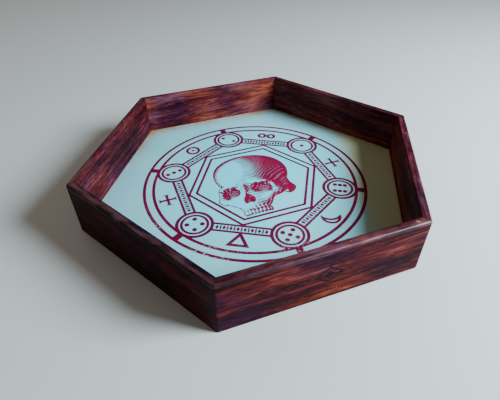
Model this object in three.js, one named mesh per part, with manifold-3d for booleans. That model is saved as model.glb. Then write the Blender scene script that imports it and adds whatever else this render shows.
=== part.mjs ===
// Hexagonal wooden dice tray: six mitred boards stand on edge around a thin floor
// panel, which is held in a groove in the boards. A printed playing mat lies on the panel.
// Millimetres, +Z up. The origin is at the centre of the tray, on the surface it stands on.
// Two corners lie on the X axis, so a flat side faces -Y (front) and another +Y (back).

import * as THREE from 'three';
import { mergeVertices } from 'three/addons/utils/BufferGeometryUtils.js';
import Module from 'manifold-3d';

// Driving dimensions
const acrossCorners = 260;
const height = 39;
const boardThickness = 6;
const matTop = 8;
const matThickness = 1.5;
const panelThickness = 3;
const grooveDepth = 3;
const gap = 0.3;

// Eased edges of a board
const outerTopRadius = 1.3;
const outerBottomRadius = 0.8;
const innerTopRadius = 0.5;
const arcSteps = 4;

// A stopped spline across each mitre, out of sight above the groove and below the rim
const splineThickness = 1.5;
const splineWidth = 5;
const splineHeight = 22;
const splineBottom = 10;

// Worked out from the dimensions above
const sides = 6;
const sideAngle = (2 * Math.PI) / sides;
const halfAngle = sideAngle / 2;
const outerApothem = (acrossCorners / 2) * Math.cos(halfAngle);
const innerApothem = outerApothem - boardThickness;
const outerCorner = acrossCorners / 2;
const innerCorner = innerApothem / Math.cos(halfAngle);
const matBottom = matTop - matThickness;
const panelTop = matBottom - gap;
const panelBottom = panelTop - panelThickness;
const grooveTop = panelTop + gap;
const grooveBottom = panelBottom - gap;

// The middle of the wood at a mitre, where the spline leaves as much wood inside as outside.
// Each board's faces run inwards from the corner, so the middle is set back by half the spline.
const setBack = (splineWidth / 4) * Math.tan(halfAngle);
const splineRadius = (outerCorner + innerCorner) / 2 - setBack;

const wasm = await Module();
wasm.setup();

function woodMaterial(colour) {
  return new THREE.MeshStandardMaterial({ color: colour, roughness: 0.45, metalness: 0 });
}

function matMaterial() {
  return new THREE.MeshStandardMaterial({ color: 0xa9d6dc, roughness: 0.6, metalness: 0 });
}

// three.js geometry to a solid that can be cut, and back again
function toSolid(geometry) {
  const bare = geometry.clone();
  bare.deleteAttribute('normal');
  bare.deleteAttribute('uv');
  const merged = mergeVertices(bare, 1e-4);
  const mesh = new wasm.Mesh({
    numProp: 3,
    vertProperties: new Float32Array(merged.attributes.position.array),
    triVerts: new Uint32Array(merged.index.array),
  });
  return new wasm.Manifold(mesh);
}

function toGeometry(solid) {
  const mesh = solid.getMesh();
  const geometry = new THREE.BufferGeometry();
  geometry.setAttribute('position', new THREE.BufferAttribute(new Float32Array(mesh.vertProperties), 3));
  geometry.setIndex(new THREE.BufferAttribute(new Uint32Array(mesh.triVerts), 1));
  geometry.computeVertexNormals();
  return geometry;
}

// A flat shape in the XY plane made into a plate between two heights
function plate(shape, bottom, top) {
  const geometry = new THREE.ExtrudeGeometry(shape, { depth: top - bottom, bevelEnabled: false });
  geometry.translate(0, 0, bottom);
  return geometry;
}

// A regular hexagon with two corners on the X axis
function hexagon(apothem) {
  const shape = new THREE.Shape();
  const corner = apothem / Math.cos(halfAngle);
  for (let i = 0; i < sides; i++) {
    const angle = i * sideAngle;
    const x = corner * Math.cos(angle);
    const y = corner * Math.sin(angle);
    if (i === 0) shape.moveTo(x, y);
    else shape.lineTo(x, y);
  }
  shape.closePath();
  return shape;
}

// Section of a board: x is the distance out from the tray's centre and y the height.
// The outer edges and the inner top edge are rounded, and the groove opens inwards.
function boardSection() {
  const shape = new THREE.Shape();
  shape.moveTo(innerApothem, 0);
  shape.lineTo(outerApothem - outerBottomRadius, 0);
  shape.absarc(outerApothem - outerBottomRadius, outerBottomRadius, outerBottomRadius, -Math.PI / 2, 0, false);
  shape.lineTo(outerApothem, height - outerTopRadius);
  shape.absarc(outerApothem - outerTopRadius, height - outerTopRadius, outerTopRadius, 0, Math.PI / 2, false);
  shape.lineTo(innerApothem + innerTopRadius, height);
  shape.absarc(innerApothem + innerTopRadius, height - innerTopRadius, innerTopRadius, Math.PI / 2, Math.PI, false);
  shape.lineTo(innerApothem, grooveTop);
  shape.lineTo(innerApothem + grooveDepth, grooveTop);
  shape.lineTo(innerApothem + grooveDepth, grooveBottom);
  shape.lineTo(innerApothem, grooveBottom);
  shape.closePath();
  return shape;
}

// The section run along X, longer than the board, with its outer face towards +Y
function boardBlank() {
  const length = acrossCorners;
  const options = { depth: length, bevelEnabled: false, curveSegments: arcSteps };
  const geometry = new THREE.ExtrudeGeometry(boardSection(), options);
  const turn = new THREE.Matrix4().makeBasis(
    new THREE.Vector3(0, 1, 0),
    new THREE.Vector3(0, 0, 1),
    new THREE.Vector3(1, 0, 0),
  );
  geometry.applyMatrix4(turn);
  geometry.translate(-length / 2, 0, 0);
  return geometry;
}

// The wedge between the two mitre planes, drawn in so that neighbours stay apart by the gap
function mitreWedge() {
  const reach = outerApothem + boardThickness;
  const apex = gap / 2 / Math.sin(halfAngle);
  const halfWidth = (reach - apex) * Math.tan(halfAngle);
  const shape = new THREE.Shape();
  shape.moveTo(0, apex);
  shape.lineTo(halfWidth, reach);
  shape.lineTo(-halfWidth, reach);
  shape.closePath();
  return plate(shape, -boardThickness, height + boardThickness);
}

// A spline, or with room around it the slot that takes it, at the corner at this angle
function splineBox(cornerAngle, room) {
  const geometry = new THREE.BoxGeometry(
    splineThickness + 2 * room,
    splineWidth + 2 * room,
    splineHeight + 2 * room,
  );
  geometry.translate(splineRadius, 0, splineBottom + splineHeight / 2);
  geometry.rotateZ(cornerAngle);
  return geometry;
}

// One board in the back position; every board is a copy of it, turned about the centre
function boardGeometry() {
  const middle = Math.PI / 2;
  const slots = toSolid(splineBox(middle - halfAngle, gap)).add(toSolid(splineBox(middle + halfAngle, gap)));
  return toGeometry(toSolid(boardBlank()).intersect(toSolid(mitreWedge())).subtract(slots));
}

function addMesh(group, name, geometry, material, turn = 0) {
  const mesh = new THREE.Mesh(geometry, material);
  mesh.name = name;
  mesh.rotation.z = turn;
  group.add(mesh);
}

// Boards in order around the tray from the back, each with its own shade of the same wood
function buildWalls(group) {
  const shades = {
    wall_back: 0x5a2d20,
    wall_back_left: 0x4f261c,
    wall_front_left: 0x3a1a15,
    wall_front: 0x5e2c1d,
    wall_front_right: 0x42201a,
    wall_back_right: 0x3f1e1a,
  };
  const geometry = boardGeometry();
  Object.entries(shades).forEach(([name, shade], i) => {
    addMesh(group, name, geometry.clone(), woodMaterial(shade), i * sideAngle);
  });
}

function buildSplines(group) {
  const names = ['right', 'back_right', 'back_left', 'left', 'front_left', 'front_right'];
  names.forEach((name, i) => {
    addMesh(group, `mitre_spline_${name}`, splineBox(0, 0), woodMaterial(0xb98a5a), i * sideAngle);
  });
}

function buildFloor(group) {
  const panelApothem = innerApothem + grooveDepth - gap;
  const panel = plate(hexagon(panelApothem), panelBottom, panelTop);
  addMesh(group, 'floor_panel', panel, woodMaterial(0xb08457));
  const mat = plate(hexagon(innerApothem - gap), matBottom, matTop);
  addMesh(group, 'playing_mat', mat, matMaterial());
}

const tray = new THREE.Group();
buildWalls(tray);
buildSplines(tray);
buildFloor(tray);

export default tray;
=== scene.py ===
import math

import bmesh
import bpy
import numpy as np
from mathutils import Matrix, Vector


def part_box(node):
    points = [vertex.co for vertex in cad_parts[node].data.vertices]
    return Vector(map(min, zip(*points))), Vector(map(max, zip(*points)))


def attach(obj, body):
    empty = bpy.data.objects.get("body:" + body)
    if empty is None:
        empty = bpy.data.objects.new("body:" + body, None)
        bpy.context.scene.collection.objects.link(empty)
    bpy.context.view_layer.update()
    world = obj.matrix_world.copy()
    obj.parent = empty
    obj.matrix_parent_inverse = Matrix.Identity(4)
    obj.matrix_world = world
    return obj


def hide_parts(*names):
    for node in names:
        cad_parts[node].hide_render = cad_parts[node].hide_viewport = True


# A hexagonal dice tray: six mitred boards round a grooved-in panel, with a printed mat inside.
# Metres, +Z up. The back board faces +Y, and each board is that one turned about the centre.

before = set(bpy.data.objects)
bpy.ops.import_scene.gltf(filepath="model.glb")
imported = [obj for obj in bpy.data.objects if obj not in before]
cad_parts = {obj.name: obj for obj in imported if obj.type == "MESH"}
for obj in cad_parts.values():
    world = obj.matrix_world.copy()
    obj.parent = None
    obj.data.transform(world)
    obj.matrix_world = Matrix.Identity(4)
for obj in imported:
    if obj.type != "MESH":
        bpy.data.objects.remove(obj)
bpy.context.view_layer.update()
print("frame loaded")

mm = 0.001
tiny = 1e-6  # closer than this is the same place
sixth = math.radians(60)
cos30 = math.cos(math.radians(30))
sin30 = 0.5

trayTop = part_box("wall_back")[1].z
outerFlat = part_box("wall_back")[1].y  # from the centre to a board's outer face
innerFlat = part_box("wall_back")[0].y  # and to its inner face
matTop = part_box("playing_mat")[1].z
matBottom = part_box("playing_mat")[0].z
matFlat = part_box("playing_mat")[1].y
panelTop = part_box("floor_panel")[1].z
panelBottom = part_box("floor_panel")[0].z


class Shade:
    # one socket of a material; arithmetic on it adds Math nodes
    def __init__(self, tree, socket=None):
        self.tree = tree
        self.socket = socket

    def plug(self, target, value):
        if isinstance(value, Shade):
            self.tree.links.new(value.socket, target)
        else:
            target.default_value = value

    # any node: its type, its settings, then its sockets' values or links
    def node(self, kind, settings=None, sockets=None, out=0):
        made = self.tree.nodes.new("ShaderNode" + kind)
        for name, value in (settings or {}).items():
            if name == "stops":
                ramp = made.color_ramp
                while len(ramp.elements) < len(value):
                    ramp.elements.new(0.5)
                for stop, (place, colour) in zip(ramp.elements, value):
                    stop.position = place
                    stop.color = (*colour, 1)
            else:
                setattr(made, name, value)
        for name, value in (sockets or {}).items():
            self.plug(made.inputs[name], value)
        return Shade(self.tree, made.outputs[out])

    def math(self, operation, *values):
        return self.node("Math", {"operation": operation}, dict(enumerate(values)))

    def __add__(self, other):
        return self.math("ADD", self, other)

    def __radd__(self, other):
        return self.math("ADD", other, self)

    def __sub__(self, other):
        return self.math("SUBTRACT", self, other)

    def __rsub__(self, other):
        return self.math("SUBTRACT", other, self)

    def __mul__(self, other):
        return self.math("MULTIPLY", self, other)

    def __rmul__(self, other):
        return self.math("MULTIPLY", other, self)

    # 0 below low, 1 above high, smooth between
    def step(self, low, high):
        sockets = {"Value": self, "From Min": low, "From Max": high, "To Min": 0.0, "To Max": 1.0}
        return self.node("MapRange", {"interpolation_type": "SMOOTHSTEP"}, sockets)

    def noise(self, vector, scale, detail=2.0, rough=0.5):
        sockets = {"Vector": vector, "Scale": scale, "Detail": detail, "Roughness": rough}
        return self.node("TexNoise", {}, sockets)

    # a pattern of its own fineness along x, y and z
    def stretchedNoise(self, vector, fineness, detail=2.0, rough=0.5):
        stretched = self.node("Mapping", {}, {"Vector": vector, "Scale": fineness})
        return self.noise(stretched, 1.0, detail, rough)

    # the same, from three values in place of a vector
    def grainNoise(self, x, y, z, fineness, detail=2.0, rough=0.5):
        parts = {i: value * fine for i, (value, fine) in enumerate(zip((x, y, z), fineness))}
        return self.noise(self.node("CombineXYZ", {}, parts), 1.0, detail, rough)

    # two colours mixed; each is a tuple or another Shade
    def mix(self, factor, a, b, blend="MIX"):
        a, b = ((*colour, 1) if isinstance(colour, tuple) else colour for colour in (a, b))
        settings = {"data_type": "RGBA", "blend_type": blend}
        return self.node("Mix", settings, {0: factor, 6: a, 7: b}, out=2)

    def split(self):
        made = self.node("SeparateXYZ", {}, {0: self}).socket.node
        return [Shade(self.tree, socket) for socket in made.outputs]


# a material with its shader and object coordinates ready
def newMaterial(name):
    made = bpy.data.materials.new(name)
    made.use_nodes = True
    tree = made.node_tree
    shader = tree.nodes["Principled BSDF"]
    start = Shade(tree)
    return made, shader, start, start.node("TexCoord", out=3)


# what varies goes in by links; a finish has the specular level and the bump's strength and depth
def finishSurface(shader, start, colour, roughness, height, finish):
    start.plug(shader.inputs["Base Color"], colour)
    start.plug(shader.inputs["Roughness"], roughness)
    strength, depth = finish["bump"]
    sockets = {"Strength": strength, "Distance": depth, "Height": height}
    start.plug(shader.inputs["Normal"], start.node("Bump", {}, sockets))
    shader.inputs["Specular IOR Level"].default_value = finish["specular"]


# sweep every face the same way, which gives flat shapes their thickness
def sweepFaces(bm, way):
    swept = bmesh.ops.extrude_face_region(bm, geom=bm.faces[:])
    moved = [vert for vert in swept["geom"] if isinstance(vert, bmesh.types.BMVert)]
    bmesh.ops.translate(bm, verts=moved, vec=way)


def newPiece(name, bm, material, body="root", smooth=True):
    mesh = bpy.data.meshes.new(name)
    bm.to_mesh(mesh)
    bm.free()
    mesh.materials.append(material)
    for face in mesh.polygons:
        face.use_smooth = smooth
    piece = bpy.data.objects.new(name, mesh)
    bpy.context.scene.collection.objects.link(piece)
    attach(piece, body)
    return piece


# Camera

cameraLook = {
    "place": (-0.0907, -0.2356, 0.1940),
    "azimuth": math.radians(-20.19),
    "pitch": math.radians(39.18),
    "roll": math.radians(-0.6),
    "lens": 29.23,
    "sensor": 36,
    "nearest": 10 * mm,
}


def makeCamera():
    azimuth, pitch, roll = cameraLook["azimuth"], cameraLook["pitch"], cameraLook["roll"]
    level = math.cos(pitch)
    back = Vector((math.sin(azimuth) * level, -math.cos(azimuth) * level, math.sin(pitch)))
    right = Vector((0, 0, 1)).cross(back).normalized()
    up = back.cross(right)
    tilted = math.cos(roll) * right + math.sin(roll) * up
    up = math.cos(roll) * up - math.sin(roll) * right
    camera = bpy.data.objects.new("camera", bpy.data.cameras.new("camera"))
    camera.data.lens = cameraLook["lens"]
    camera.data.sensor_width = cameraLook["sensor"]
    camera.data.clip_start = cameraLook["nearest"]
    turn = Matrix((tilted, up, back)).transposed().to_4x4()
    camera.matrix_world = Matrix.Translation(cameraLook["place"]) @ turn
    bpy.context.scene.collection.objects.link(camera)
    bpy.context.scene.camera = camera


# Light and floor

lightLook = {
    "key": {"place": (0.575, -0.385, 0.478), "size": 0.40, "power": 19.5, "colour": (0.72, 0.90, 1.0)},
    "fill": {"place": (-0.5, 0.7, 0.8), "size": 0.9, "power": 1.6, "colour": (1.0, 0.92, 0.84)},
    "room": (0.90, 0.82, 0.72),
    "roomStrength": 0.13,
}
floorLook = {"size": 8.0, "colour": (0.70, 0.69, 0.67), "roughness": 0.75, "drop": 0.05 * mm}


def makeLights():
    for name in ("key", "fill"):
        look = lightLook[name]
        light = bpy.data.lights.new(name, "AREA")
        light.shape = "DISK"
        light.size = look["size"]
        light.energy = look["power"]
        light.color = look["colour"]
        lamp = bpy.data.objects.new(name, light)
        lamp.location = look["place"]
        lamp.rotation_euler = Vector(look["place"]).to_track_quat("Z", "Y").to_euler()
        bpy.context.scene.collection.objects.link(lamp)
    world = bpy.data.worlds.new("room")
    world.use_nodes = True
    background = world.node_tree.nodes["Background"]
    background.inputs["Color"].default_value = (*lightLook["room"], 1)
    background.inputs["Strength"].default_value = lightLook["roomStrength"]
    bpy.context.scene.world = world


def makeFloor():
    bm = bmesh.new()
    bmesh.ops.create_grid(bm, x_segments=1, y_segments=1, size=floorLook["size"])
    bmesh.ops.translate(bm, verts=bm.verts, vec=(0, 0, -floorLook["drop"]))
    mesh = bpy.data.meshes.new("floor")
    bm.to_mesh(mesh)
    bm.free()
    material = bpy.data.materials.new("pale floor")
    material.use_nodes = True
    shader = material.node_tree.nodes["Principled BSDF"]
    shader.inputs["Base Color"].default_value = (*floorLook["colour"], 1)
    shader.inputs["Roughness"].default_value = floorLook["roughness"]
    mesh.materials.append(material)
    floor = bpy.data.objects.new("floor", mesh)
    bpy.context.scene.collection.objects.link(floor)


makeCamera()
makeLights()
makeFloor()
print("camera, light and floor made")

# Boards

boardShape = {
    "faceInset": 0.1 * mm,  # the outer face lies this far inside the design's
    "mitreGap": 0.03 * mm,
    "cornerEase": 0.45 * mm,  # how much of the sharp outer corner is rubbed off
    "outerTop": 2.1 * mm,
    "outerBottom": 0.8 * mm,
    "innerTop": 1.2 * mm,
    "cornerRound": 0.9 * mm,
    "grooveDepth": 3 * mm,
    "grooveGap": 0.3 * mm,
    "cornerZone": 1.2 * mm,  # an edge this near the outer face belongs to it
    "segments": 5,
}

# shift lightens or darkens a board, partly its own tone and partly painted light and shade, lean
# makes one end lighter, figure bends its grain, blotch is how far it is mottled, warm and cool turn
# parts of it towards orange and purple, rim paints sheen on its top, or shade where it is negative,
# and polish is how much its top shines
boardLooks = {
    "wall_back": {
        "seed": (6.125, 0.8, 7.7), "shift": 0.09, "lean": 0.3, "figure": 1.4, "blotch": 1.1,
        "warm": 0.7, "cool": 0.9, "rim": 0.03, "polish": 0.1},
    "wall_back_left": {
        "seed": (2.1, 0.4, 3.2), "shift": -0.06, "lean": 0, "figure": 0.8, "blotch": 0.8,
        "warm": 0.2, "cool": 0.9, "rim": 0.01, "polish": 0.1},
    "wall_front_left": {
        "seed": (4.4, 2.2, 1.1), "shift": -0.15, "lean": 0, "figure": 0.8, "blotch": 0.6,
        "warm": 0.1, "cool": 0.6, "rim": -0.04, "polish": 0.25},
    "wall_front": {
        "seed": (7.87, 2.4, 6.3), "shift": -0.03, "lean": 0.4, "figure": 0.8, "blotch": 0.75,
        "warm": 0.9, "cool": 1.0, "rim": 0.06, "polish": 0.5},
    "wall_front_right": {
        "seed": (6.7, 3.1, 4.8), "shift": 0.04, "lean": 0, "figure": 0.9, "blotch": 0.7,
        "warm": 0.3, "cool": 0.5, "rim": -0.05, "polish": 0.1},
    "wall_back_right": {
        "seed": (3.9, 6.2, 5.5), "shift": 0.09, "lean": -0.6, "figure": 1.0, "blotch": 0.8,
        "warm": 0.3, "cool": 0.5, "rim": -0.2, "polish": 0.0},
}
woodLook = {
    "stops": [
        (0.22, (0.008, 0.0012, 0.0036)),
        (0.38, (0.032, 0.0036, 0.0076)),
        (0.50, (0.074, 0.0090, 0.0120)),
        (0.62, (0.145, 0.0210, 0.0200)),
        (0.80, (0.30, 0.072, 0.052)),
    ],
    "orange": (1.35, 1.20, 0.58),  # what a warm stretch multiplies its colour by
    "purple": (0.62, 0.80, 1.80),  # and a cool one
    "pore": (0.008, 0.0022, 0.0030),
    # worn rim colour, partly lighter worn wood and partly tinted purple as a painted sheen
    "rubbed": (0.24, 0.080, 0.092),
    "chip": (0.36, 0.22, 0.16),
    "glue": (0.006, 0.002, 0.002),
    "roughness": 0.44,
    "roughnessShares": {"fibres": 0.12, "pores": 0.25},
    "heightShares": {"fibres": 0.35, "streaks": 0.4},
    "specular": 0.05,
    "coatRoughness": 0.38,
    "bump": (0.5, 0.08 * mm),
    # how fine each pattern is along the board, outwards and up
    "wander": (9, 40, 40),
    "patches": (26, 62, 62),
    "hue": (19, 45, 45),
    "wear": (60, 260, 260),
    # the same, with the wandering grain in place of outwards or up
    "bands": (8, 130, 3),
    "streaks": (22, 480, 5),
    "flecks": (150, 300, 820),
    "fibres": (45, 900, 1500),
    "pores": (240, 2400, 2400),
    "wanderReach": 14 * mm,
    "slant": 0.35,  # how far the grain rises through the board's thickness
    # what each adds to the tone
    "shares": {"bands": 0.45, "streaks": 0.85, "patches": 0.75, "flecks": 0.5, "fibres": 0.25},
    "tone": -0.275,
    # where each mask starts and is full, and how strong it is there
    "orangeFrom": (0.50, 0.66),
    "purpleTo": (0.34, 0.50),
    # how strongly the rim is tinted purple as a painted sheen
    "paintedRimSheen": 0.45,
    "poresFrom": (0.62, 0.72),
    "poreShare": 0.65,
    "rimFrom": (-2.6 * mm, -0.9 * mm),
    "rimSlope": 0.3,
    "wearFrom": (0.40, 0.70),
    "wearAndSheenShare": 0.26,
    "wearPolish": 0.4,
    "chipFine": 260.0,
    "chipsFrom": (0.765, 0.79),
    "chipShare": 0.6,
    "glueFrom": (-0.35 * mm, -0.08 * mm),
    "glueShare": 0.6,
}


def woodMaterial(name, turn, look):
    wood = woodLook
    shares = wood["shares"]
    made, shader, start, spot = newMaterial(name + " wood")
    # turn the board to the back position, so x runs along it, y outwards and z up
    local = start.node("Mapping", {}, {"Vector": spot, "Rotation": (0, 0, -turn)})
    along, out, up = local.split()
    seed = start.node("Mapping", {}, {"Vector": local, "Location": look["seed"]})
    seedX, seedY, seedZ = seed.split()
    # the rim and the rounded corner outside it
    nearTop = ((out - outerFlat) * wood["rimSlope"] + (up - trayTop)).step(*wood["rimFrom"])
    # slow wander of the grain, then wide bands and narrow streaks that follow it
    wander = (start.stretchedNoise(seed, wood["wander"]) - 0.5) * (wood["wanderReach"] * look["figure"])
    across = up + out * wood["slant"] + wander + look["seed"][1]
    bands = start.grainNoise(seedX, across, seedZ, wood["bands"])
    streaks = start.grainNoise(seedX, across, seedZ, wood["streaks"], 4.0, 0.7)
    patches = start.stretchedNoise(seed, wood["patches"]) - 0.5
    flecks = start.grainNoise(seedX, seedY, across, wood["flecks"]) - 0.5
    fibres = start.grainNoise(seedX, seedY, across, wood["fibres"])
    tone = along * look["lean"] + bands * shares["bands"] + streaks * shares["streaks"]
    tone = tone + patches * (shares["patches"] * look["blotch"]) + flecks * shares["flecks"]
    # the rim lift paints sheen or shade on the board's top, and the shift is partly painted light and
    # shade
    tone = tone + fibres * shares["fibres"] + nearTop * look["rim"] + (look["shift"] + wood["tone"])
    colour = start.node("ValToRGB", {"stops": wood["stops"]}, {"Fac": tone})
    orange = start.mix(1.0, colour, wood["orange"], "MULTIPLY")
    purple = start.mix(1.0, colour, wood["purple"], "MULTIPLY")
    hue = start.stretchedNoise(seed, wood["hue"], 3.0)
    colour = start.mix(hue.step(*wood["orangeFrom"]) * look["warm"], colour, orange)
    colour = start.mix((1 - hue.step(*wood["purpleTo"])) * look["cool"], colour, purple)
    # the rim and its rounded edge are tinted purple as a painted sheen
    colour = start.mix(nearTop * wood["paintedRimSheen"], colour, purple)
    # pores: short dark dashes along the grain
    pores = start.grainNoise(seedX, seedY, across, wood["pores"], 1.0).step(*wood["poresFrom"])
    colour = start.mix(pores * wood["poreShare"], colour, wood["pore"])
    # rubbed and chipped places on the rim; the rubbed colour is partly lighter worn wood and partly a
    # painted purple sheen
    wear = start.grainNoise(seedX, seedY, seedZ, wood["wear"], 3.0, 0.6).step(*wood["wearFrom"])
    rub = nearTop * wear
    colour = start.mix(rub * wood["wearAndSheenShare"], colour, wood["rubbed"])
    chips = nearTop * start.noise(seed, wood["chipFine"], 1.0).step(*wood["chipsFrom"])
    colour = start.mix(chips * wood["chipShare"], colour, wood["chip"])
    # the dark glue line at each mitre
    fromMitre = along.math("ABSOLUTE", along) * cos30 - out * sin30
    glue = fromMitre.step(*wood["glueFrom"])
    colour = start.mix(glue * wood["glueShare"], colour, wood["glue"])
    rougher, raised = wood["roughnessShares"], wood["heightShares"]
    roughness = fibres * rougher["fibres"] + pores * rougher["pores"] + wood["roughness"]
    height = fibres * raised["fibres"] + streaks * raised["streaks"] - pores - chips
    finishSurface(shader, start, colour, roughness, height, wood)
    # handling has polished the rim
    start.plug(shader.inputs["Coat Weight"], rub * wood["wearPolish"] + nearTop * look["polish"])
    shader.inputs["Coat Roughness"].default_value = wood["coatRoughness"]
    return made


# keep what is on the inner side of a plane, and close the cut
def cutAndClose(bm, point, normal):
    everything = bm.verts[:] + bm.edges[:] + bm.faces[:]
    cut = bmesh.ops.bisect_plane(
        bm, geom=everything, dist=tiny / 10, plane_co=point, plane_no=normal, clear_outer=True)
    rim = [edge for edge in cut["geom_cut"] if isinstance(edge, bmesh.types.BMEdge)]
    bmesh.ops.contextual_create(bm, geom=rim)


def makeBoard(name, turn, look):
    shape = boardShape
    outer = outerFlat - shape["faceInset"]
    grooveBottom = panelBottom - shape["grooveGap"]
    grooveTop = panelTop + shape["grooveGap"]
    grooveEnd = innerFlat + shape["grooveDepth"]
    # the board's section, outwards and up
    section = [
        (innerFlat, 0), (outer, 0), (outer, trayTop), (innerFlat, trayTop), (innerFlat, grooveTop),
        (grooveEnd, grooveTop), (grooveEnd, grooveBottom), (innerFlat, grooveBottom),
    ]
    bm = bmesh.new()
    bm.faces.new([bm.verts.new((-outer, y, z)) for y, z in section])
    sweepFaces(bm, (2 * outer, 0, 0))
    for side in (-1, 1):
        mitre = Vector((side * cos30, -sin30, 0))
        cutAndClose(bm, -mitre * shape["mitreGap"] / 2, mitre)
        corner = Vector((side * sin30, cos30, 0))
        cutAndClose(bm, corner * (outer / cos30 - shape["cornerEase"]), corner)
    bmesh.ops.recalc_face_normals(bm, faces=bm.faces)
    # weights for the rounding, as a share of the widest; every other edge stays sharp
    widest = shape["outerTop"]
    weight = bm.edges.layers.float.new("bevel_weight_edge")
    for edge in bm.edges:
        a, b = (vert.co for vert in edge.verts)
        middle = (a + b) / 2
        flat = abs(a.z - b.z) < tiny
        atTop = middle.z > trayTop - tiny
        outwards = min(a.y, b.y) > outer - shape["cornerZone"]
        if flat and outwards and atTop:
            edge[weight] = 1
        elif flat and outwards and middle.z < tiny:
            edge[weight] = shape["outerBottom"] / widest
        elif flat and atTop and abs(a.y - b.y) < tiny:
            edge[weight] = shape["innerTop"] / widest
        elif not flat and abs(middle.y - outer) < tiny:
            edge[weight] = shape["cornerRound"] / widest
        else:
            edge.smooth = False
    bmesh.ops.rotate(bm, verts=bm.verts, cent=(0, 0, 0), matrix=Matrix.Rotation(turn, 3, "Z"))
    board = newPiece(name + "_board", bm, woodMaterial(name, turn, look))
    rounding = board.modifiers.new("rounding", "BEVEL")
    rounding.limit_method = "WEIGHT"
    rounding.width = widest
    rounding.segments = shape["segments"]
    rounding.harden_normals = True
    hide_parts(name)


for i, (boardName, boardLook) in enumerate(boardLooks.items()):
    makeBoard(boardName, i * sixth, boardLook)
print("boards made")

# Splines and floor panel: the design's own pieces with a better material

rawWoodLooks = {
    "spline": {"light": (0.52, 0.34, 0.18), "dark": (0.34, 0.19, 0.09), "stretch": (300, 300, 12)},
    "panel": {"light": (0.60, 0.43, 0.26), "dark": (0.42, 0.26, 0.13), "stretch": (12, 260, 260)},
}
rawWoodFinish = {
    "wave": (7, 26, 26),
    "waveShare": 0.8,
    "fineShare": 0.3,
    "toneFrom": (0.25, 0.8),  # dark below the first, light above the second
    "roughness": 0.62,
    "grainRoughness": 0.2,
    "specular": 0.5,
    "bump": (0.4, 0.05 * mm),
}


def rawWood(name):
    look, finish = rawWoodLooks[name], rawWoodFinish
    made, shader, start, spot = newMaterial(name + " raw wood")
    stretched = start.node("Mapping", {}, {"Vector": spot, "Scale": look["stretch"]})
    wave = start.stretchedNoise(spot, finish["wave"])
    grain = start.noise(stretched, 1.0, 4.0, 0.6)
    fine = start.noise(stretched, 4.0, 2.0)
    tone = grain + (wave - 0.5) * finish["waveShare"] + (fine - 0.5) * finish["fineShare"]
    colour = start.mix(tone.step(*finish["toneFrom"]), look["dark"], look["light"])
    roughness = finish["roughness"] + grain * finish["grainRoughness"]
    finishSurface(shader, start, colour, roughness, fine, finish)
    return made


splineWood = rawWood("spline")
panelWood = rawWood("panel")
for nodeName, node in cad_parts.items():
    if nodeName.startswith("mitre_spline"):
        node.data.materials.clear()
        node.data.materials.append(splineWood)
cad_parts["floor_panel"].data.materials.clear()
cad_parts["floor_panel"].data.materials.append(panelWood)
print("splines and panel finished")

# Mat

matLook = {
    # the bright middle and the darker outside are partly a printed fade and partly painted light
    # falling off
    "middle": (0.10, 0.82, 1.0),
    "outside": (0.28, 0.60, 0.66),
    "faded": (0.35, 0.72, 0.78),
    "brown": (0.40, 0.235, 0.115),
    "paintedShadeColour": (0.52, 0.47, 0.24),
    "cloudFine": 14.0,
    "blotFine": 38.0,
    # a wobble is how far the clouds or blots move a border
    "fadeAndLightFalloffFrom": (25 * mm, 112 * mm),  # from the middle
    "fadeAndLightFalloffWobble": 30 * mm,
    "cloudsFrom": (0.40, 0.75),
    "cloudShare": 0.5,
    "stainWidth": 15 * mm,
    "stainWobble": 12 * mm,
    "blotsFrom": (0.25, 0.65),
    "ageAlong": (1.5, 3.2),  # the way in x and y that the browning grows
    "ageFrom": (-0.10, 0.35),
    "ageShare": 0.75,
    "ageEverywhere": 0.12,
    "cornerFrom": (94 * mm, 122 * mm),  # from the middle
    "cornerBack": (0, 80 * mm),  # only towards the back
    "cornerShare": 0.5,
    # a painted warm shade over the right of the mat, where the boards' shadow falls
    "paintedShadeAlong": (0.9, -0.35),
    "paintedShadeFrom": (62 * mm, 84 * mm),
    "paintedShadeWobble": 20 * mm,
    "paintedShadeShare": 0.85,
    "hairline": 2.0 * mm,
    "hairlineShare": 0.35,
    "pebbleFine": 900.0,
    "pebbleHeight": 0.6,
    "grainFine": 1800.0,
    "grainHeight": 0.4,
    "roughness": 0.5,
    "cloudRoughness": 0.12,
    "specular": 0.3,
    "bump": (0.25, 0.05 * mm),
    "edgeRound": 0.35 * mm,
}


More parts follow.
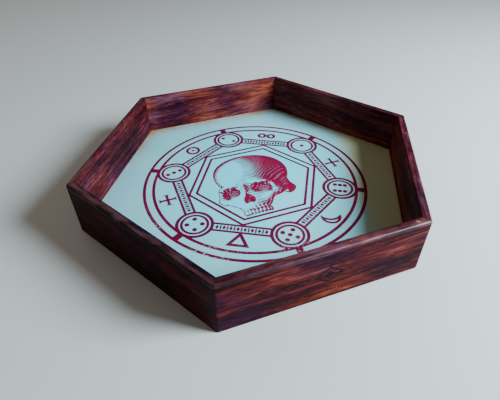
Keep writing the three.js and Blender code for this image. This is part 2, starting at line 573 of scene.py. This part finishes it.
def matMaterial():
    look = matLook
    made, shader, start, spot = newMaterial("printed leathercloth")
    x, y = spot.split()[:2]
    # distance in from the nearest side of the hexagon
    sideA = y.math("ABSOLUTE", y)
    sideB = y.math("ABSOLUTE", x * cos30 + y * sin30)
    sideC = y.math("ABSOLUTE", x * cos30 - y * sin30)
    fromEdge = matFlat - sideA.math("MAXIMUM", sideA, sideB.math("MAXIMUM", sideB, sideC))
    fromMiddle = x.math("SQRT", x * x + y * y)
    clouds = start.noise(spot, look["cloudFine"], 4.0, 0.6)
    blots = start.noise(spot, look["blotFine"], 3.0, 0.6)
    wobble = look["fadeAndLightFalloffWobble"]
    # brighter and bluer in the middle, darker and greyer towards the boards: partly a printed fade and
    # partly painted light falling off
    fadeAndLightFalloff = (fromMiddle + clouds * wobble - wobble / 2).step(*look["fadeAndLightFalloffFrom"])
    colour = start.mix(fadeAndLightFalloff, look["middle"], look["outside"])
    colour = start.mix(clouds.step(*look["cloudsFrom"]) * look["cloudShare"], colour, look["faded"])
    # browned towards the edges, most at the back corners and the right
    wobble = look["stainWobble"]
    rim = 1 - (fromEdge + blots * wobble - wobble / 2).step(0.0, look["stainWidth"])
    corner = fromMiddle.step(*look["cornerFrom"]) * y.step(*look["cornerBack"]) * look["cornerShare"]
    alongX, alongY = look["ageAlong"]
    ageing = (y * alongY + x * alongX).step(*look["ageFrom"]) * look["ageShare"]
    ageing = ageing + look["ageEverywhere"] + corner
    colour = start.mix(rim * blots.step(*look["blotsFrom"]) * ageing, colour, look["brown"])
    # painted warm shade on the right, where the right-hand boards cast their shadow
    alongX, alongY = look["paintedShadeAlong"]
    wobble = look["paintedShadeWobble"]
    paintedShade = (x * alongX + y * alongY + clouds * wobble - wobble / 2).step(*look["paintedShadeFrom"])
    colour = start.mix(paintedShade * look["paintedShadeShare"], colour, look["paintedShadeColour"])
    hairline = 1 - fromEdge.step(0.0, look["hairline"])
    colour = start.mix(hairline * look["hairlineShare"], colour, look["brown"])
    sockets = {"Vector": spot, "Scale": look["pebbleFine"]}
    pebbles = start.node("TexVoronoi", {"feature": "SMOOTH_F1"}, sockets)
    grain = start.noise(spot, look["grainFine"], 2.0)
    height = pebbles * look["pebbleHeight"] + grain * look["grainHeight"]
    roughness = clouds * look["cloudRoughness"] + look["roughness"]
    finishSurface(shader, start, colour, roughness, height, look)
    return made


# a regular hexagon as one face, with two corners on the X axis
def hexagonFace(bm, flat, z):
    made = bmesh.ops.create_circle(bm, cap_ends=True, segments=6, radius=flat / cos30)
    ring = made["verts"]
    first = Vector(ring[0].co.xy)
    turn = -math.atan2(first.y, first.x)
    bmesh.ops.rotate(bm, verts=ring, cent=(0, 0, 0), matrix=Matrix.Rotation(turn, 3, "Z"))
    bmesh.ops.translate(bm, verts=ring, vec=(0, 0, z))
    return ring


def makeMat():
    bm = bmesh.new()
    hexagonFace(bm, matFlat, matBottom)
    sweepFaces(bm, (0, 0, matTop - matBottom))
    bmesh.ops.recalc_face_normals(bm, faces=bm.faces)
    rim = [edge for edge in bm.edges if min(vert.co.z for vert in edge.verts) > matTop - tiny]
    bmesh.ops.bevel(
        bm, geom=rim, offset=matLook["edgeRound"], affect="EDGES", segments=3, profile=0.5, material=-1)
    mat = newPiece("mat", bm, matMaterial(), smooth=False)
    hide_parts("playing_mat")
    return mat


mat = makeMat()
print("mat made")

# Print: thin layers of ink on the mat. Groups that cross differ in thickness, so no two tops meet.

printLook = {
    "thick": 0.04 * mm,
    "step": 0.006 * mm,  # from one group's thickness to the next
    "line": 2.3 * mm,
    "fineLine": 1.9 * mm,
    "ink": (0.135, 0.0003, 0.028),
    "paleInk": (0.190, 0.0012, 0.046),
    "wornInk": (0.36, 0.56, 0.60),
    "outerRing": 83.6 * mm,
    "innerRing": 76.8 * mm,
    "roundelAt": 64.7 * mm,
    "roundelOuter": 12.1 * mm,
    "roundelInner": 9.0 * mm,
    "bandWidth": 6.6 * mm,
    "hexagons": (51.6 * mm, 46.0 * mm),  # from the middle to a corner
    "glyphAt": 67.6 * mm,
    "blockWidth": 5.0 * mm,
    "blockLap": 0.3 * mm,  # how far a block runs under the rings
    "pip": 1.7 * mm,
    "pipSpread": 3.7 * mm,
    "patchFine": 45.0,
    "paleFrom": (0.3, 0.7),
    "paleShare": 0.5,
    "wornFine": 700.0,
    "wornFrom": (0.56, 0.64),
    # the ink is rubbed in patches at the front left, and a little in fewer patches elsewhere
    "rubbedAlong": (-0.75, -1),
    "rubbedFrom": (55 * mm, 105 * mm),
    "patchesFrom": (0.45, 0.62),
    "fewerFrom": (0.58, 0.8),
    "fewerShare": 0.3,
    "roughness": 0.56,
    "patchRoughness": 0.1,
    "specular": 0.15,
    "bump": (0.1, 0.02 * mm),
}
bandLook = {
    "count": 15,
    "spacing": 2.4 * mm,
    "lozenge": (1.35 * mm, 2.1 * mm),  # half its width and height
    "tick": (1.1 * mm, 4.0 * mm),  # its width and height
}
glyphLook = {
    "sun": 4.9 * mm,
    "sunDot": 1.3 * mm,
    "pair": 2.85 * mm,
    "crossReach": 6.5 * mm,
    "crossArm": 1.0 * mm,
    "crossFlare": 2.1 * mm,
    "crossNeck": 0.72,  # of its reach: where an arm starts to widen
    "crossNotch": 0.94,  # and how far its hollow end comes
    "triangle": 6.9 * mm,
    "moon": (7.1 * mm, 7.6 * mm, 5.8 * mm),  # its two radii, and how far apart their centres are
    "moonLine": 1.9 * mm,
    "moonTurn": math.radians(73),
}


def inkMaterial(name, look):
    wear = printLook
    made, shader, start, spot = newMaterial(name)
    x, y = spot.split()[:2]
    worn = start.noise(spot, wear["wornFine"], 3.0, 0.6).step(*wear["wornFrom"])
    patch = start.noise(spot, wear["patchFine"], 2.0)
    alongX, alongY = wear["rubbedAlong"]
    frontLeft = (x * alongX + y * alongY).step(*wear["rubbedFrom"])
    rubbed = frontLeft * patch.step(*wear["patchesFrom"])
    rubbed = rubbed + patch.step(*wear["fewerFrom"]) * wear["fewerShare"]
    pale = patch.step(*wear["paleFrom"]) * wear["paleShare"]
    colour = start.mix(pale, look["ink"], look["paleInk"])
    colour = start.mix(worn * rubbed, colour, wear["wornInk"])
    roughness = patch * wear["patchRoughness"] + wear["roughness"]
    finishSurface(shader, start, colour, roughness, worn, wear)
    return made


def polar(radius, angle):
    return Vector((radius * math.cos(angle), radius * math.sin(angle)))


# flat shapes are drawn at z = 0 about the origin, then laid where they go
def layShape(bm, verts, at=(0, 0), turn=0.0):
    bmesh.ops.rotate(bm, verts=verts, cent=(0, 0, 0), matrix=Matrix.Rotation(turn, 3, "Z"))
    bmesh.ops.translate(bm, verts=verts, vec=(at[0], at[1], 0))


def drawDisc(bm, radius, at=(0, 0), segments=24):
    made = bmesh.ops.create_circle(bm, cap_ends=True, segments=segments, radius=radius)
    layShape(bm, made["verts"], at)


# a ring, or an outlined polygon with one corner towards first
def drawRing(bm, radius, line, at=(0, 0), segments=64, first=0.0):
    verts = []
    edges = set()
    half = line / 2 / math.cos(math.pi / segments)
    for side in (radius - half, radius + half):
        made = bmesh.ops.create_circle(bm, cap_ends=False, segments=segments, radius=side)
        verts += made["verts"]
        edges |= {edge for vert in made["verts"] for edge in vert.link_edges}
    bmesh.ops.bridge_loops(bm, edges=list(edges))
    layShape(bm, verts, at, first - math.pi / 2)


def drawPolygon(bm, points, at=(0, 0), turn=0.0):
    verts = [bm.verts.new((x, y, 0)) for x, y in points]
    bm.faces.new(verts)
    layShape(bm, verts, at, turn)


def drawBar(bm, width, height, at=(0, 0), turn=0.0):
    made = bmesh.ops.create_grid(bm, x_segments=1, y_segments=1, size=0.5)
    bmesh.ops.scale(bm, verts=made["verts"], vec=(width, height, 1))
    layShape(bm, made["verts"], at, turn)


def drawLozenge(bm, half, at=(0, 0), turn=0.0):
    made = bmesh.ops.create_circle(bm, cap_ends=True, segments=4, radius=1)
    bmesh.ops.scale(bm, verts=made["verts"], vec=(*half, 1))
    layShape(bm, made["verts"], at, turn)


pipLayouts = {
    1: [(0, 0)],
    2: [(-1, 1), (1, -1)],
    3: [(-1, 1), (0, 0), (1, -1)],
    4: [(-1, 1), (1, 1), (-1, -1), (1, -1)],
    5: [(-1, 1), (1, 1), (0, 0), (-1, -1), (1, -1)],
    6: [(-1, 1), (1, 1), (-1, 0), (1, 0), (-1, -1), (1, -1)],
}


def drawRings(bm):
    for radius in (printLook["outerRing"], printLook["innerRing"]):
        drawRing(bm, radius, printLook["line"], segments=180)


def drawRoundels(bm):
    look = printLook
    for i, layout in enumerate(pipLayouts.values()):
        angle = i * sixth + sixth / 2
        at = polar(look["roundelAt"], angle)
        drawRing(bm, look["roundelOuter"], look["line"], at)
        drawRing(bm, look["roundelInner"], look["fineLine"], at, 48)
        for x, y in layout:
            spot = Vector((x, y)) * look["pipSpread"]
            spot.rotate(Matrix.Rotation(angle - math.pi / 2, 2))
            drawDisc(bm, look["pip"], at + spot)


# the blocks between the two rings, one beyond each roundel
def drawBlocks(bm):
    look = printLook
    middle = (look["innerRing"] + look["outerRing"]) / 2
    height = look["outerRing"] - look["innerRing"] - look["line"] + 2 * look["blockLap"]
    for i in range(6):
        angle = i * sixth + sixth / 2
        drawBar(bm, look["blockWidth"], height, polar(middle, angle), angle - math.pi / 2)


# bands of two lines from roundel to roundel, with a row of lozenges and ticks between them
def drawBands(bm):
    look = printLook
    middle = look["roundelAt"] * cos30
    reach = math.sqrt((look["roundelOuter"] + look["line"] / 4) ** 2 - (look["bandWidth"] / 2) ** 2)
    for i in range(6):
        turn = Matrix.Rotation(i * sixth - math.pi / 2, 2)
        for side in (-1, 1):
            at = turn @ Vector((0, middle + side * look["bandWidth"] / 2))
            drawBar(bm, look["roundelAt"] - 2 * reach, look["fineLine"], at, i * sixth - math.pi / 2)
        for j in range(bandLook["count"]):
            at = turn @ Vector(((j - (bandLook["count"] - 1) / 2) * bandLook["spacing"], middle))
            if j % 2:
                drawBar(bm, *bandLook["tick"], at, i * sixth - math.pi / 2)
            else:
                drawLozenge(bm, bandLook["lozenge"], at, i * sixth - math.pi / 2)


def drawHexagons(bm):
    for radius in printLook["hexagons"]:
        drawRing(bm, radius, printLook["fineLine"], segments=6)


# the edge of a crescent between two arcs, the inner one's centre moved along x
def crescentLoop(bm, outer, inner, shift, steps=24):
    meetOuter = math.acos((outer**2 + shift**2 - inner**2) / (2 * outer * shift))
    meetInner = math.pi - math.acos((inner**2 + shift**2 - outer**2) / (2 * inner * shift))
    points = []
    for i in range(steps):
        points.append(polar(outer, meetOuter + (2 * math.pi - 2 * meetOuter) * i / steps))
    for i in range(steps):
        angle = 2 * math.pi - meetInner - (2 * math.pi - 2 * meetInner) * i / steps
        points.append(polar(inner, angle) + Vector((shift, 0)))
    verts = [bm.verts.new((x, y, 0)) for x, y in points]
    edges = [bm.edges.new((a, b)) for a, b in zip(verts, verts[1:] + verts[:1])]
    return verts, edges


def drawMoon(bm, at):
    outer, inner, shift = glyphLook["moon"]
    line = glyphLook["moonLine"]
    outside, outsideEdges = crescentLoop(bm, outer, inner, shift)
    inside, insideEdges = crescentLoop(bm, outer - line, inner + line, shift)
    bmesh.ops.bridge_loops(bm, edges=outsideEdges + insideEdges)
    layShape(bm, outside + inside, at, glyphLook["moonTurn"])


# a cross whose arms widen at their ends, as one outline
def drawCross(bm, at):
    reach, arm, flare = (glyphLook[name] for name in ("crossReach", "crossArm", "crossFlare"))
    neck, notch = glyphLook["crossNeck"] * reach, glyphLook["crossNotch"] * reach
    quarter = [(arm, -arm), (neck, -arm), (reach, -flare), (notch, 0), (reach, flare), (neck, arm)]
    points = []
    for i in range(4):
        turn = Matrix.Rotation(i * math.pi / 2, 2)
        points += [turn @ Vector(point) for point in quarter]
    drawPolygon(bm, points, at)


def drawGlyphs(bm):
    at = [polar(printLook["glyphAt"], i * sixth) for i in range(6)]
    drawCross(bm, at[0])
    drawCross(bm, at[3])
    drawRing(bm, glyphLook["sun"], printLook["line"], at[2], 40)
    drawDisc(bm, glyphLook["sunDot"], at[2])
    beside = polar(glyphLook["pair"] + printLook["line"] / 2, sixth + math.pi / 2)
    for side in (-1, 1):
        drawRing(bm, glyphLook["pair"], printLook["line"], at[1] + side * beside, 32)
    drawRing(bm, glyphLook["triangle"], printLook["line"], at[4], 3, 4 * sixth + math.pi)
    drawMoon(bm, at[5])


ink = inkMaterial("dark red ink", printLook)


# draw a group of flat ink, give it its thickness, and lay it on the mat
def makePrint(name, draw, level):
    bm = bmesh.new()
    draw(bm)
    bmesh.ops.recalc_face_normals(bm, faces=bm.faces)
    sweepFaces(bm, (0, 0, printLook["thick"] + level * printLook["step"]))
    bmesh.ops.translate(bm, verts=bm.verts, vec=(0, 0, matTop))
    bmesh.ops.recalc_face_normals(bm, faces=bm.faces)
    return newPiece("print_" + name, bm, ink, smooth=False)


printGroups = [
    ("rings", drawRings), ("roundels", drawRoundels), ("bands", drawBands),
    ("hexagons", drawHexagons), ("blocks", drawBlocks), ("glyphs", drawGlyphs),
]
prints = [makePrint(name, draw, level) for level, (name, draw) in enumerate(printGroups)]
print("line print made")

# Engraved skull: a simple skull is worked out from rounded forms, lit from the upper left, and
# cut by two families of slices. Each slice is an inked line, as wide as the form there is dark.
# The lines' outlines become a flat curve, and that a mesh.

skullLook = {
    "ink": (0.22, 0.0006, 0.036),
    "paleInk": (0.28, 0.0022, 0.054),
    "unit": 37.5 * mm,  # half the skull's height
    "centre": (-3.0 * mm, -1.5 * mm),
    "turn": math.radians(17),
    "nod": math.radians(3),
    "cell": 0.2 * mm,
    "light": (-0.72, 0.34, 0.62),
    "spacing": 0.046,
    "slices": [(-0.50, -0.78, 0.37), (0.74, -0.56, 0.37)],
    # line width for each darkness, for the first and the second family
    "widths": [
        ([0.0, 0.18, 0.30, 0.62, 0.94, 1.0], [-0.30, -0.04, 0.26, 0.66, 0.78, 1.0]),
        ([0.0, 0.46, 0.56, 0.80, 1.0], [-0.50, -0.05, 0.22, 0.52, 0.66]),
    ],
    "outline": 3,  # cells
    "outlineStep": 0.13,
    "half": (0.95, 1.12),  # half the width and height that is searched, in units
    "walk": (1.6, -1.5),  # where the walk down starts and gives up
    "walkSteps": 70,
    "walkShare": 0.85,  # of the distance still to go
    "met": 0.002,
    "nudge": 0.01,  # how far apart the form is felt for its slope
    "openReaches": (0.06, 0.14, 0.28),
    "openFrom": (0.25, 0.78),
    "roomLight": 0.10,
    "edgeFrom": (0.30, 0.88),
    "edgeDark": 0.64,
    "hollowRoom": 1.10,
    "hollowUpper": (0.30, 0.75),  # how fast a hollow darkens upwards, and how dark its middle is
    "hollowDeep": (1.8, -0.30),  # the same with its depth
    "limit": 0.6,
    "shortest": 7,  # fewer points than this is a speck
    "thinning": 0.12,
}

# x to the side, y up, z forwards, in half heights: kind, centre, radii, tilt in degrees, softness
skullForms = [
    ("add", (0.00, 0.28, -0.20), (0.70, 0.72, 0.90), 0, 0.05),  # cranium
    ("pair", (0.30, 0.34, -0.30), (0.46, 0.52, 0.60), 0, 0.20),  # its sides
    ("add", (0.00, 0.26, 0.30), (0.55, 0.50, 0.42), 0, 0.25),  # forehead
    ("add", (0.00, -0.24, 0.12), (0.60, 0.30, 0.40), 0, 0.10),  # base behind the face
    ("add", (0.00, -0.36, 0.36), (0.47, 0.40, 0.38), 0, 0.12),  # face
    ("pair", (0.33, -0.055, 0.60), (0.235, 0.080, 0.13), -8, 0.12),  # brows
    ("pair", (0.54, -0.47, 0.42), (0.17, 0.115, 0.17), 24, 0.09),  # cheekbones
    ("pair", (0.34, -0.60, 0.58), (0.20, 0.10, 0.12), 35, 0.12),  # their roots on the jaw
    ("pair", (0.66, -0.42, 0.05), (0.05, 0.060, 0.40), 0, 0.07),  # cheek arches
    ("pair", (0.570, -0.23, 0.47), (0.065, 0.20, 0.12), 8, 0.10),  # outer rims of the sockets
    ("add", (0.00, -0.68, 0.48), (0.31, 0.22, 0.34), 0, 0.14),  # upper jaw
    ("add", (0.00, -0.20, 0.70), (0.060, 0.17, 0.12), 0, 0.08),  # bridge of the nose
    ("pair", (0.56, -0.34, -0.25), (0.13, 0.24, 0.20), 0, 0.18),  # bone behind the ear
    ("cutPair", (0.97, -0.06, 0.46), (0.27, 0.30, 0.38), 0, 0.12),  # temples
    ("hollowPair", (0.325, -0.245, 0.84), (0.200, 0.172, 0.42), -12, 0.05),  # eye sockets
    ("hollowPair", (0.055, -0.535, 0.90), (0.075, 0.130, 0.28), 12, 0.03),  # nose opening
    ("hollow", (0.00, -0.45, 0.92), (0.062, 0.130, 0.26), 0, 0.03),  # its top
    ("cutPair", (0.58, -0.84, 0.42), (0.24, 0.23, 0.46), 8, 0.07),  # under the cheeks
]
teeth = {
    "count": 10,
    "step": math.radians(15),
    "arch": (0.285, 0.315),  # half its width, and how far it comes forwards
    "middle": (-0.925, 0.48),  # its height and depth
    "crown": (0.037, 0.075, 0.045),
    "crownSoft": 0.006,
    "root": (0.026, 0.09, 0.03),
    "rootSoft": 0.05,
    "rootRise": 0.125,
    "rootSpread": 1.03,
}


def easeBetween(value, low, high):
    part = np.clip((value - low) / (high - low), 0, 1)
    return part * part * (3 - 2 * part)


# distance to an ellipsoid, tilted about z
def toForm(points, centre, radii, tilt):
    x, y, z = (value - middle for value, middle in zip(points, centre))
    cosine, sine = math.cos(math.radians(tilt)), math.sin(math.radians(tilt))
    parts = (cosine * x + sine * y, cosine * y - sine * x, z)
    near = np.sqrt(sum((part / radius) ** 2 for part, radius in zip(parts, radii)))
    steep = np.sqrt(sum((part / radius**2) ** 2 for part, radius in zip(parts, radii)))
    return near * (near - 1) / np.maximum(steep, tiny)


# the nearer of two distances, with the crease between the forms filled softly
def softUnion(a, b, soft):
    overlap = np.maximum(soft - np.abs(a - b), 0)
    return np.minimum(a, b) - overlap**2 / (4 * soft)


def toSkull(points):
    mirrored = (np.abs(points[0]), points[1], points[2])
    total = np.full_like(points[0], 9.0)
    for kind, centre, radii, tilt, soft in skullForms:
        one = toForm(mirrored if kind.lower().endswith("pair") else points, centre, radii, tilt)
        if kind in ("add", "pair"):
            total = softUnion(total, one, soft)
        else:
            total = -softUnion(-total, one, soft)
    across, ahead = teeth["arch"]
    low, back = teeth["middle"]
    spread = teeth["rootSpread"]
    for i in range(teeth["count"]):
        angle = (i - (teeth["count"] - 1) / 2) * teeth["step"]
        sideways, forwards = math.sin(angle), math.cos(angle)
        root = (across * spread * sideways, low + teeth["rootRise"], back + ahead * spread * forwards)
        total = softUnion(total, toForm(points, root, teeth["root"], 0), teeth["rootSoft"])
        crown = (across * sideways, low, back + ahead * forwards)
        total = softUnion(total, toForm(points, crown, teeth["crown"], 0), teeth["crownSoft"])
    return total


# turn points in the mat's frame to the skull's own
def toSkullFrame(x, y, z):
    cosine, sine = math.cos(skullLook["turn"]), math.sin(skullLook["turn"])
    x, z = cosine * x + sine * z, cosine * z - sine * x
    cosine, sine = math.cos(skullLook["nod"]), math.sin(skullLook["nod"])
    return x, cosine * y - sine * z, sine * y + cosine * z


# walk straight down from above each cell until the skull is met
def skullHeights(x, y):
    look = skullLook
    above, below = look["walk"]
    z = np.full_like(x, above)
    met = np.zeros(x.shape, bool)
    going = np.ones(x.shape, bool)
    for _ in range(look["walkSteps"]):
        at = np.nonzero(going)
        away = toSkull(toSkullFrame(x[at], y[at], z[at]))
        z[at] -= away * look["walkShare"]
        met[at] |= away < look["met"]
        going[at] = (away >= look["met"]) & (z[at] > below)
        if not going.any():
            break
    return z, met


# how dark the ink is wanted: 0 for bare mat, 1 for solid
def skullDarkness(x, y, z):
    def away(dx, dy, dz):
        return toSkull(toSkullFrame(x + dx, y + dy, z + dz))

    look = skullLook
    nudges = [(look["nudge"], 0, 0), (0, look["nudge"], 0), (0, 0, look["nudge"])]
    normal = np.stack([away(*nudge) - away(*(-part for part in nudge)) for nudge in nudges])
    normal /= np.linalg.norm(normal, axis=0) + tiny / 1000
    light = np.array(look["light"]) / np.linalg.norm(look["light"])
    lit = np.clip(np.tensordot(light, normal, 1), 0, 1)
    reaches = look["openReaches"]
    free = [np.clip(away(*(normal * reach)) / reach, 0, 1) for reach in reaches]
    openness = sum(free) / len(reaches)
    lit = look["roomLight"] + (1 - look["roomLight"]) * lit
    dark = 1 - lit * easeBetween(openness, *look["openFrom"])
    dark = np.maximum(dark, easeBetween(1 - normal[2], *look["edgeFrom"]) * look["edgeDark"])
    # sockets and nose are filled from the top down
    upperRate, upperStart = look["hollowUpper"]
    deepRate, deepStart = look["hollowDeep"]
    points = toSkullFrame(x, y, z)
    for kind, centre, radii, tilt, _ in skullForms:
        if kind.startswith("hollow"):
            own = (np.abs(points[0]), points[1], points[2]) if kind.endswith("Pair") else points
            roomy = [radius * look["hollowRoom"] for radius in radii]
            inside = toForm(own, centre, roomy, tilt) < 0
            upper = np.clip((own[1] - centre[1]) / radii[1] * upperRate + upperStart, 0, 1)
            deep = np.clip((centre[2] - own[2]) / radii[2] * deepRate + deepStart, 0, 1)
            dark = np.maximum(dark, inside * deep * upper)
    return dark


# positive where there is ink
def skullInk(x, y):
    look = skullLook
    z, met = skullHeights(x, y)
    dark = skullDarkness(x, y, z)
    inked = np.full(x.shape, -1.0)
    for axis, (darkness, widths) in zip(look["slices"], look["widths"]):
        level = (axis[0] * x + axis[1] * y + axis[2] * z) / look["spacing"]
        fromLine = 1 - np.abs(level % 1 * 2 - 1)
        inked = np.maximum(inked, np.interp(dark, darkness, widths) - fromLine)
    # an outline wherever the form drops away
    height = np.where(met, z, look["walk"][1])
    lowest = height.copy()
    reach = range(-look["outline"], look["outline"] + 1)
    for i in reach:
        for j in reach:
            if i * i + j * j <= look["outline"] ** 2 + 1:
                lowest = np.minimum(lowest, np.roll(height, (i, j), (0, 1)))
    limit = look["limit"]
    inked = np.where(height - lowest > look["outlineStep"], limit, inked)
    inked = np.clip(np.where(met, inked, -1), -limit, limit)
    for axis in (0, 1):
        inked = (np.roll(inked, 1, axis) + 2 * inked + np.roll(inked, -1, axis)) / 4
    return inked


# closed lines where a grid of values passes through zero, with the positive side on the left
def zeroLines(values, xs, ys):
    positive = values > 0
    # each cell's kind: its four corners, anticlockwise from the lower left, as 1, 2, 4 and 8
    lower, upper = positive[:-1], positive[1:]
    kinds = lower[:, :-1] * 1 + lower[:, 1:] * 2 + upper[:, 1:] * 4 + upper[:, :-1] * 8
    # the cell's sides that a line enters and leaves by: 0 lower, 1 right, 2 upper, 3 left
    turns = {
        1: [(0, 3)], 2: [(1, 0)], 3: [(1, 3)], 4: [(2, 1)], 5: [(0, 3), (2, 1)],
        6: [(2, 0)], 7: [(2, 3)], 8: [(3, 2)], 9: [(0, 2)], 10: [(1, 0), (3, 2)],
        11: [(1, 2)], 12: [(3, 1)], 13: [(0, 1)], 14: [(3, 0)],
    }
    following = {}
    for row, column in zip(*np.nonzero((kinds > 0) & (kinds < 15))):
        sides = [(0, row, column), (1, row, column + 1), (0, row + 1, column), (1, row, column)]
        for enter, leave in turns[int(kinds[row, column])]:
            following[sides[enter]] = sides[leave]

    def crossing(side):
        upright, row, column = side
        a, b = values[row, column], values[row + upright, column + 1 - upright]
        part = a / (a - b)
        x = xs[column] + (0 if upright else part * (xs[1] - xs[0]))
        return x, ys[row] + (part * (ys[1] - ys[0]) if upright else 0)

    lines = []
    while following:
        first, at = following.popitem()
        line = [first]
        while at != first:
            line.append(at)
            at = following.pop(at)
        lines.append([crossing(side) for side in line])
    return lines


# drop the points that lie almost on the line between their neighbours
def thinned(line, within):
    kept = [line[0]]
    for i in range(1, len(line) - 1):
        run = Vector(line[i + 1]) - Vector(kept[-1])
        off = Vector(line[i]) - Vector(kept[-1])
        if abs(run.x * off.y - run.y * off.x) > within * run.length:
            kept.append(line[i])
    return kept + [line[-1]]


def makeSkullPrint():
    look = skullLook
    step = look["cell"] / look["unit"]
    xs, ys = (np.arange(-half, half, step) for half in look["half"])
    lines = zeroLines(skullInk(*np.meshgrid(xs, ys)), xs, ys)
    lines = [thinned(line, look["thinning"] * step) for line in lines if len(line) > look["shortest"]]
    curve = bpy.data.curves.new("skull outlines", "CURVE")
    curve.dimensions = "2D"
    curve.fill_mode = "BOTH"
    curve.extrude = printLook["thick"] / 2
    for line in lines:
        spline = curve.splines.new("POLY")
        spline.points.add(len(line) - 1)
        for point, (x, y) in zip(spline.points, line):
            point.co = (x * look["unit"], y * look["unit"], 0, 1)
        spline.use_cyclic_u = True
    drawn = bpy.data.objects.new("skull outlines", curve)
    mesh = bpy.data.meshes.new_from_object(drawn)
    bm = bmesh.new()
    bm.from_mesh(mesh)
    bpy.data.objects.remove(drawn)
    bpy.data.meshes.remove(mesh)
    bmesh.ops.remove_doubles(bm, verts=bm.verts, dist=tiny / 10)
    lift = matTop + printLook["thick"] / 2
    bmesh.ops.translate(bm, verts=bm.verts, vec=(*look["centre"], lift))
    bmesh.ops.recalc_face_normals(bm, faces=bm.faces)
    print("skull print:", len(lines), "outlines,", len(bm.faces), "faces")
    return newPiece("print_skull", bm, inkMaterial("skull ink", look), smooth=False)


skullPrint = makeSkullPrint()

# Burnt mark on the front board: a lozenge in a lozenge between two dots, over a row of dots
# and dashes

markLook = {
    "at": (1.0 * mm, 20.5 * mm),  # along the board and up
    "outer": (9.6 * mm, 6.6 * mm),
    "inner": (4.2 * mm, 2.7 * mm),
    "line": 1.2 * mm,
    "dots": (-13.2 * mm, 13.2 * mm),
    "dot": 1.0 * mm,
    "rowAt": 7.2 * mm,
    "rowCount": 13,
    "rowStep": 2.4 * mm,
    "rowBar": (1.9 * mm, 1.3 * mm),
    "thick": 0.06 * mm,
    "colour": (0.0060, 0.0016, 0.0022),
    "ash": (0.035, 0.008, 0.008),
    "charFine": 900.0,
    "charFrom": (0.45, 0.8),
    "charShare": 0.6,
    "charRoughness": 0.2,
    "roughness": 0.62,
    "specular": 0.15,
    "bump": (0.4, 0.05 * mm),
}


def burntMaterial():
    look = markLook
    made, shader, start, spot = newMaterial("burnt wood")
    char = start.noise(spot, look["charFine"], 3.0)
    ashen = char.step(*look["charFrom"]) * look["charShare"]
    colour = start.mix(ashen, look["colour"], look["ash"])
    roughness = char * look["charRoughness"] + look["roughness"]
    finishSurface(shader, start, colour, roughness, char, look)
    return made


def drawMark(bm):
    look = markLook
    made = bmesh.ops.create_circle(bm, cap_ends=True, segments=4, radius=1)
    bmesh.ops.scale(bm, verts=made["verts"], vec=(*look["outer"], 1))
    face = bm.faces[:][0]
    face.normal_update()
    bmesh.ops.inset_region(
        bm, faces=[face], thickness=look["line"], use_even_offset=True, use_boundary=True)
    bmesh.ops.delete(bm, geom=[face], context="FACES_ONLY")
    drawLozenge(bm, look["inner"])
    for x in look["dots"]:
        drawDisc(bm, look["dot"], (x, 0), 12)
    drop = look["rowAt"] - look["at"][1]
    for i in range(look["rowCount"]):
        x = (i - (look["rowCount"] - 1) / 2) * look["rowStep"]
        if i % 3 == 1:
            drawBar(bm, *look["rowBar"], (x, drop))
        else:
            drawDisc(bm, look["rowBar"][1] / 2, (x, drop), 10)


def makeMark():
    look = markLook
    bm = bmesh.new()
    drawMark(bm)
    bmesh.ops.recalc_face_normals(bm, faces=bm.faces)
    sweepFaces(bm, (0, 0, look["thick"]))
    # stand it up, facing -Y, on the front board's outer face
    bmesh.ops.rotate(bm, verts=bm.verts, cent=(0, 0, 0), matrix=Matrix.Rotation(math.pi / 2, 3, "X"))
    place = (look["at"][0], -(outerFlat - boardShape["faceInset"]), look["at"][1])
    bmesh.ops.translate(bm, verts=bm.verts, vec=place)
    bmesh.ops.recalc_face_normals(bm, faces=bm.faces)
    newPiece("burnt_mark", bm, burntMaterial(), smooth=False)


makeMark()
print("burnt mark made")
